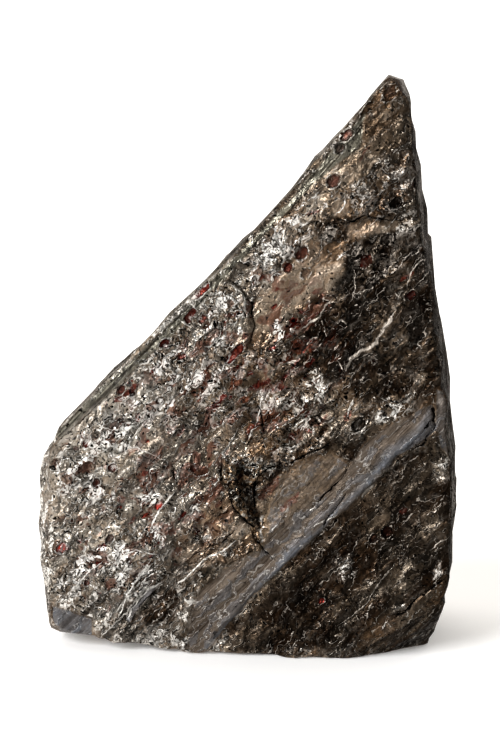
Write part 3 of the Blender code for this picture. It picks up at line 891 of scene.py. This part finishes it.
def coalFinish():
    f = Finish("anthracite")
    place = f.node("TexCoord").outputs["Object"]
    turn = (0, math.radians(skin["bedding"]), 0)
    p = f.node("Mapping", {"Vector": place, "Rotation": turn, "Scale": (1000, 1000, 1000)}).outputs[0]  # mm

    def noise(stretch, scale, detail=2.0, rough=0.5, at=None):
        values = {"Vector": f.vector("MULTIPLY", at or bent, stretch)}
        values.update({"Scale": scale, "Detail": detail, "Roughness": rough})
        return f.node("TexNoise", values).outputs["Fac"]

    bend = f.node("TexNoise", {"Vector": p, "Scale": coal["bendScale"], "Detail": 3.0, "Roughness": 0.62})
    bend = f.vector("SUBTRACT", bend.outputs["Color"], (0.5, 0.5, 0.5))
    bend = f.vector("SCALE", bend, scale=coal["bendReach"])
    bent = f.vector("ADD", p, bend)

    polish, dark, pale = f.mask("polish"), f.mask("dark"), f.mask("pale")
    glint, edge = f.mask("glint"), f.mask("edge")
    blue, hollow, blush = f.mask("blue"), f.mask("hollow"), f.mask("blush")
    rugged = f.minus(1.0, polish, clamp=True)
    busy = f.ramp(glint, 0.3, 0.9)
    plates = noise((0.6, 0.8, 1.0), 0.075, 1.5, 0.4)
    quiet = f.times(f.ramp(plates, 0.52, 0.56), f.minus(1.0, dark, clamp=True))
    lively = f.times(f.ramp(glint, 0.1, 0.3, 0.3, 1.0), f.scaled(quiet, -0.65, 1.0))

    cloud = noise((0.35, 0.7, 1.0), 0.09, 4.0, 0.55)
    cloudTwo = noise((0.5, 0.8, 1.0), 0.26, 2.0, 0.5)
    fine = noise((0.7, 0.9, 1.0), 1.0, 2.0, 0.6)
    jag = f.minus(noise((1.0, 1.0, 1.0), 0.8, 3.0, 0.65, at=p), 0.5)
    streaks = noise((0.06, 0.4, 1.0), 1.3, 4.0, 0.68, at=p)
    hairs = noise((0.12, 0.6, 1.0), 0.9, 3.0, 0.55)

    # steps of four sizes: each rises slowly to a lip and drops at its foot
    def steps(stretch, scale, detail, count):
        level = f.times(noise(stretch, scale, detail, 0.5), count)
        own = f.node("TexWhiteNoise", {"W": f.math("FLOOR", level)}, noise_dimensions="1D").outputs["Value"]
        return f.math("FRACT", level), own

    shelves, shelfTone = steps(*coal["shelves"])
    flakes, flakeTone = steps(*coal["flakes"])
    curls, _ = steps(*coal["curls"])
    blades, bladeTone = steps(*coal["blades"])
    facetPlace = f.vector("MULTIPLY", bent, (0.55, 0.8, 1.0))
    facets = f.node("TexVoronoi", {"Vector": facetPlace, "Scale": coal["facetScale"]})
    grains = f.node("TexVoronoi", {"Vector": bent, "Scale": coal["grainScale"]})

    broken = f.ramp(hairs, 0.46, 0.53)
    brokenTwo = f.ramp(cloudTwo, 0.46, 0.54)
    # lips: a painted highlight along the lip of each step; feet: a painted shadow at the foot of each step
    lipA = f.times(f.ramp(shelves, 0.93, 0.97), f.times(broken, brokenTwo))
    lipB = f.times(f.ramp(flakes, 0.9, 0.95), f.ramp(fine, 0.48, 0.56))
    lipB = f.times(lipB, f.scaled(dark, -0.3, 1.0, clamp=True))
    lipC = f.times(f.ramp(curls, 0.84, 0.92), f.times(busy, f.ramp(cloudTwo, 0.5, 0.42)))
    lips = f.most(lipA, f.times(lipB, 0.8), lipC)
    lips = f.times(f.times(lips, rugged), lively)
    footA = f.times(f.fade(shelves, 0.0, 0.16), f.ramp(cloudTwo, 0.44, 0.52))
    footB = f.times(f.fade(flakes, 0.0, 0.22), f.ramp(fine, 0.42, 0.52))
    footC = f.times(f.fade(curls, 0.0, 0.3), busy)
    feet = f.times(f.most(footA, footB, footC), f.times(rugged, lively))
    # pits and dents: painted shade, near black, in the small hollows that the relief also sinks
    pits = f.times(f.fade(grains.outputs["Distance"], 0.3, 0.42), f.ramp(f.channel(grains, 0), 0.8, 0.82))
    dents = f.times(f.ramp(flakes, 0.42, 0.36), f.ramp(curls, 0.5, 0.44))
    dents = f.times(dents, f.times(f.ramp(fine, 0.47, 0.5), f.ramp(glint, 0.2, 0.5)))
    pits = f.times(f.most(pits, dents), rugged)
    # the blades get a painted highlight along their lips and a painted shadow at their feet
    bladeLip = f.times(f.ramp(blades, 0.9, 0.96), f.ramp(cloudTwo, 0.42, 0.52))
    bladeFoot = f.times(f.fade(blades, 0.0, 0.12), f.ramp(cloudTwo, 0.56, 0.46))
    bladeShare = f.most(polish, f.mask("splinter"), clamp=True)

    # colour
    colour = f.mix(f.ramp(cloud, 0.42, 0.56), coal["brown"], coal["grey"])
    colour = f.mix(f.times(f.mask("warm"), 0.65, clamp=True), colour, coal["warm"])
    paleShare = f.times(pale, f.ramp(hairs, 0.4, 0.55, 0.4, 1.0), clamp=True)
    colour = f.mix(f.times(paleShare, 0.75), colour, coal["paleTone"])
    # each step is painted darker towards its foot, painted shade, and each flake and facet also takes a
    # random darker tone of its own
    stepShadeAndTone = f.most(
        f.times(f.ramp(shelfTone, 0.3, 0.9), 0.5),
        f.times(f.ramp(flakeTone, 0.45, 0.9), 0.75),
        f.times(f.ramp(flakes, 0.75, 0.0), 0.7),
        f.times(f.ramp(shelves, 0.6, 0.0), 0.6),
    )
    stepShadeAndTone = f.times(stepShadeAndTone, f.scaled(dark, 0.9, 0.65))
    stepShadeAndTone = f.most(stepShadeAndTone, f.times(f.ramp(f.channel(facets, 2), 0.27, 0.24), 0.55))
    stepShadeAndTone = f.times(stepShadeAndTone, lively, clamp=True)
    shard = f.times(f.ramp(f.channel(facets, 2), 0.72, 0.75), f.scaled(paleShare, 0.5, 0.15))
    colour = f.mix(f.times(shard, lively), colour, coal["paleTone"])
    colour = f.mix(stepShadeAndTone, colour, coal["black"])
    deepShare = f.times(dark, f.ramp(cloud, 0.4, 0.6, 0.97, 0.6), clamp=True)
    deepTone = f.mix(f.ramp(shelfTone, 0.25, 0.75), coal["black"], coal["deep"])
    colour = f.mix(deepShare, colour, deepTone)
    # the blades are painted darker towards their feet, painted shade, and by a random tone of their own
    bladeShade = f.times(f.ramp(bladeTone, 0.4, 0.9), 0.4)
    bladeShadeAndTone = f.most(f.times(f.ramp(blades, 0.5, 0.0), 0.6), bladeShade)
    colour = f.mix(f.times(bladeShadeAndTone, f.mask("splinter")), colour, coal["black"])
    rustShare = f.times(blush, f.ramp(cloudTwo, 0.5, 0.58))
    colour = f.mix(f.times(rustShare, 0.6, clamp=True), colour, coal["rust"])
    slopeShare = f.mask("slope")
    sideLines = noise((0.035, 0.22, 1.2), 1.0, 3.0, 0.6, at=p)
    side = f.mix(f.ramp(sideLines, 0.42, 0.52, 0.15, 1.0), coal["black"], coal["side"])
    colour = f.mix(f.times(slopeShare, 0.85), colour, side)
    # pale slivers near the right edge are a painted reflection; the right flank is darkened towards black,
    # painted shade on the side turned from the light
    slivers = noise((700, 700, 60), 1.0, 2.0, at=place)
    sliver = f.times(f.ramp(slivers, 0.54, 0.58), f.mask("rimNear"))
    colour = f.mix(f.times(f.mask("flank"), 0.7), colour, coal["black"])
    colour = f.mix(f.times(sliver, 0.9), colour, coal["edgeTone"])
    slab = f.mix(f.ramp(streaks, 0.36, 0.66), coal["band"], coal["bandLight"])
    slab = f.mix(f.times(f.mask("warm"), 0.25), slab, coal["warm"])
    slab = f.mix(f.times(f.ramp(streaks, 0.5, 0.36), 0.5), slab, coal["black"])
    slab = f.mix(f.times(bladeShadeAndTone, 0.5), slab, coal["black"])
    lens = noise((0.06, 0.3, 0.32), 1.0, 2.0)
    blueShare = f.plus(f.times(blue, 0.75), f.ramp(lens, 0.5, 0.62, 0.0, 0.5))
    blueShare = f.times(blueShare, f.ramp(streaks, 0.35, 0.6, 0.4, 1.0), clamp=True)
    slab = f.mix(blueShare, slab, coal["blueTone"])
    lensEdge = f.fade(f.math("ABSOLUTE", f.minus(lens, 0.56)), 0.0, 0.014)
    lensEdge = f.times(lensEdge, f.ramp(fine, 0.4, 0.55))
    slab = f.mix(f.times(lensEdge, 0.35), slab, coal["edgeTone"])
    colour = f.mix(f.ramp(f.plus(polish, f.times(jag, 0.6)), 0.35, 0.6), colour, slab)
    crumb = f.mix(f.ramp(f.channel(grains, 2), 0.35, 0.5), coal["black"], coal["warm"])
    crumb = f.mix(f.ramp(f.channel(grains, 0), 0.8, 0.86), crumb, coal["paleTone"])
    colour = f.mix(f.times(hollow, 0.85), colour, crumb)

    # red: specks, stains and the floors of the eyes
    speck = f.times(f.ramp(f.channel(facets, 0), 0.88, 0.9), f.fade(facets.outputs["Distance"], 0.3, 0.4))
    speck = f.times(f.times(speck, blush), rugged)
    stainReach = f.plus(f.mask("stainReach"), f.times(jag, 1.1))
    stain = f.times(f.fade(stainReach, 0.6, 1.1), f.mask("stainPower"))
    eyeReach = f.plus(f.mask("eyeReach"), f.times(jag, 1.3))
    eye = f.fade(eyeReach, 0.8, 0.92)
    rim = f.times(f.ramp(eyeReach, 0.92, 1.05), f.fade(eyeReach, 1.1, 1.3))
    rim = f.times(rim, f.ramp(f.plus(hairs, f.times(jag, 0.9)), 0.52, 0.56))
    eyeRed = f.mask("eyeRed")
    glassy = f.times(eye, 0.8)
    colour = f.mix(f.times(eye, f.times(f.mask("eyeDark"), 0.9)), colour, coal["black"])
    red = f.mix(f.ramp(fine, 0.42, 0.58), coal["redTone"], coal["redLight"])
    redShare = f.most(speck, stain, f.times(eye, eyeRed), clamp=True)
    glow = f.times(eye, f.ramp(eyeRed, 1.0, 1.5))
    red = f.mix(glow, red, coal["redGlow"])
    colour = f.mix(redShare, colour, red)

    # painted highlights on lips, ridges, crests, eye rims, blade lips and sparks; painted shade at the feet
    # of the steps, in pits and in cracks
    bladeFootShade = f.times(bladeFoot, f.times(bladeShare, 0.8))
    paintedShade = f.most(f.times(feet, 0.9), pits, bladeFootShade, clamp=True)
    clear = f.minus(1.0, glassy, clamp=True)
    paintedShade = f.times(paintedShade, clear)
    lips = f.times(lips, clear)
    colour = f.mix(paintedShade, colour, coal["paintedShade"])
    crestGap = f.math("ABSOLUTE", f.plus(f.mask("crestGap"), f.times(jag, 1.3)))
    crestGap = f.math("DIVIDE", crestGap, f.mask("crestWide"))
    crest = f.times(f.fade(crestGap, 0.4, 1.1), f.mask("crestNear"))
    crest = f.times(crest, f.ramp(fine, 0.4, 0.5, 0.45, 1.0))
    lipShare = f.scaled(dark, -0.25, 0.88)
    bladeLipHighlight = f.times(bladeLip, f.times(bladeShare, 0.22))
    lips = f.times(lips, lipShare)
    paintedHighlight = f.most(lips, f.times(edge, 0.2), f.times(rim, 0.7), bladeLipHighlight, crest, clamp=True)
    spark = f.times(f.ramp(f.channel(facets, 1), 0.45, 0.5), f.ramp(curls, 0.25, 0.5))
    spark = f.times(spark, f.times(busy, f.ramp(cloudTwo, 0.44, 0.5)))
    paintedHighlight = f.most(paintedHighlight, f.times(spark, 0.9), clamp=True)
    highlightTone = f.mix(f.times(dark, 0.7), coal["edgeTone"], coal["edgeWarm"])
    colour = f.mix(paintedHighlight, colour, highlightTone)
    arrisShare = f.times(f.mask("arris"), f.ramp(cloudTwo, 0.36, 0.5, 0.0, 0.6))
    colour = f.mix(arrisShare, colour, coal["black"])
    crackGap = f.math("ABSOLUTE", f.plus(f.mask("crackGap"), f.times(jag, 1.6)))
    crackWide = f.times(f.mask("crackWide"), f.ramp(cloudTwo, 0.38, 0.62, 0.35, 1.4))
    crackGap = f.math("DIVIDE", crackGap, crackWide)
    crack = f.times(f.fade(crackGap, 0.7, 1.1), f.mask("crackNear"))
    colour = f.mix(crack, colour, coal["paintedShade"])
    paintedShade = f.most(paintedShade, crack, clamp=True)
    f.feed(f.shader.inputs["Base Color"], colour)

    # shine
    rough = f.ramp(cloudTwo, 0.4, 0.6, coal["smooth"], coal["dull"])
    rough = f.plus(rough, f.times(polish, 0.06))
    rough = f.plus(rough, f.times(paintedShade, 0.5), clamp=True)
    f.feed(f.shader.inputs["Roughness"], rough)
    matt = f.total(((pale, 0.22), (polish, 0.5), (f.mask("warm"), 0.3), (paintedHighlight, 0.3)))
    f.feed(f.shader.inputs["Metallic"], f.minus(coal["metallic"], f.math("MINIMUM", matt, 0.6)))
    f.feed(f.shader.inputs["IOR"], coal["ior"])
    f.shader.inputs["Specular Tint"].default_value = coal["rimTint"]

    # fine relief in millimetres
    crumpled = (
        (shelves, 0.45),
        (flakes, 0.32),
        (curls, f.scaled(busy, 0.32, 0.05)),
        (facets.outputs["Distance"], f.scaled(glint, 0.3, 0.15)),
        (grains.outputs["Distance"], f.times(busy, 0.12)),
        (pits, -0.2),
    )
    bumps = f.times(f.total(crumpled), f.times(rugged, clear))
    bumps = f.times(bumps, f.scaled(quiet, -0.5, 1.0))
    lined = (
        (hairs, f.scaled(rugged, 0.4, 0.15)),
        (streaks, f.scaled(polish, 0.3, 0.06)),
        (blades, f.times(bladeShare, 0.45)),
        (f.ramp(lens, 0.53, 0.59), f.times(polish, 0.25)),
        (rim, 0.12),
        (crest, 0.2),
        (crack, -0.5),
        (f.math("SINE", f.times(f.mask("ripple"), 5.2)), f.times(f.mask("rippleShare"), 0.09)),
    )
    bumps = f.total(lined, bumps)
    relief = f.node("Bump", {"Height": bumps, "Distance": 0.001, "Strength": coal["relief"]}).outputs[0]
    tilt = f.vector("SUBTRACT", facets.outputs["Color"], (0.5, 0.5, 0.5))
    tiltTwo = f.vector("SUBTRACT", grains.outputs["Color"], (0.5, 0.5, 0.5))
    tilt = f.vector("SCALE", tilt, scale=f.times(f.scaled(glint, 0.35, 0.2), rugged))
    tiltTwo = f.vector("SCALE", tiltTwo, scale=f.times(f.times(busy, 0.32), rugged))
    facing = f.vector("NORMALIZE", f.vector("ADD", relief, f.vector("ADD", tilt, tiltTwo)))
    f.feed(f.shader.inputs["Normal"], facing)
    return f.material


lump.data.materials.clear()
lump.data.materials.append(coalFinish())
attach(lump, "root")
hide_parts("anthracite")
print("the coal has its finish")

# Floor, light and surroundings
studio = {
    "floorSize": 60,
    "floorTone": (0.88, 0.88, 0.88),
    "floorGlow": 0.16,
    "keyFrom": (-0.58, -0.62, 0.53),
    "keyAngle": 34,  # degrees, how wide the light looks
    "keyPower": 3.4,
    "backdrop": 1.3,  # what the camera sees of the room
    "behind": 1.55,  # brightness of the surroundings behind the lump
    "before": 0.04,  # and on the camera's side
    "left": 0.4,  # added on the left
    "lowLeft": 2.1,  # what the shine sees below, on the left
    "lowRight": 0.35,  # and on the right
}


def makeFloor():
    bpy.ops.object.select_all(action="DESELECT")
    bpy.ops.mesh.primitive_plane_add(size=studio["floorSize"])
    floor = bpy.context.object
    floor.name = "floor"
    material = bpy.data.materials.new("floor")
    material.use_nodes = True
    shader = material.node_tree.nodes["Principled BSDF"]
    shader.inputs["Base Color"].default_value = (*studio["floorTone"], 1)
    shader.inputs["Roughness"].default_value = 0.9
    shader.inputs["Specular IOR Level"].default_value = 0.1
    shader.inputs["Emission Color"].default_value = (1, 0.99, 0.97, 1)
    shader.inputs["Emission Strength"].default_value = studio["floorGlow"]
    floor.data.materials.append(material)
    floor.visible_glossy = False  # the shine shows the surroundings instead, which are set below


def makeLight():
    data = bpy.data.lights.new("key", "SUN")
    data.angle = math.radians(studio["keyAngle"])
    data.energy = studio["keyPower"]
    key = bpy.data.objects.new("key", data)
    bpy.context.scene.collection.objects.link(key)
    key.rotation_mode = "QUATERNION"
    key.rotation_quaternion = (-Vector(studio["keyFrom"])).to_track_quat("-Z", "Y")


def makeSurroundings():
    world = bpy.data.worlds.new("room")
    bpy.context.scene.world = world
    world.use_nodes = True
    tree = world.node_tree
    background = tree.nodes["Background"]
    direction = tree.nodes.new("ShaderNodeTexCoord").outputs["Generated"]
    parts = tree.nodes.new("ShaderNodeSeparateXYZ")
    tree.links.new(direction, parts.inputs[0])

    def level(axis, low, high, start, end):
        node = tree.nodes.new("ShaderNodeMapRange")
        node.interpolation_type = "SMOOTHSTEP"
        tree.links.new(parts.outputs[axis], node.inputs["Value"])
        for name, value in (("From Min", low), ("From Max", high), ("To Min", start), ("To Max", end)):
            node.inputs[name].default_value = value
        return node.outputs[0]

    def join(operation, first, second):
        node = tree.nodes.new("ShaderNodeMath")
        node.operation = operation
        tree.links.new(first, node.inputs[0])
        tree.links.new(second, node.inputs[1])
        return node.outputs[0]

    behind = level("Y", -0.35, 0.45, studio["before"], studio["behind"])
    room = join("ADD", behind, level("X", -0.35, -1.0, 0.0, studio["left"]))
    low = level("X", -0.75, 0.45, studio["lowLeft"], studio["lowRight"])
    low = join("MULTIPLY", low, level("Z", 0.0, -0.45, 0.55, 1.0))
    above = level("Z", -0.1, -0.005, 0.0, 1.0)
    below = level("Z", -0.1, -0.005, 1.0, 0.0)
    total = join("ADD", join("MULTIPLY", room, above), join("MULTIPLY", low, below))
    tree.links.new(total, background.inputs["Strength"])
    background.inputs["Color"].default_value = (1, 0.96, 0.91, 1)
    backdrop = tree.nodes.new("ShaderNodeBackground")
    backdrop.inputs["Strength"].default_value = studio["backdrop"]
    seen = tree.nodes.new("ShaderNodeLightPath").outputs["Is Camera Ray"]
    choice = tree.nodes.new("ShaderNodeMixShader")
    tree.links.new(seen, choice.inputs[0])
    tree.links.new(background.outputs[0], choice.inputs[1])
    tree.links.new(backdrop.outputs[0], choice.inputs[2])
    tree.links.new(choice.outputs[0], tree.nodes["World Output"].inputs["Surface"])


makeFloor()
makeLight()
makeSurroundings()
bpy.context.scene.view_settings.view_transform = "Standard"
bpy.context.scene.view_settings.look = "Medium High Contrast"
print("floor and light are set")
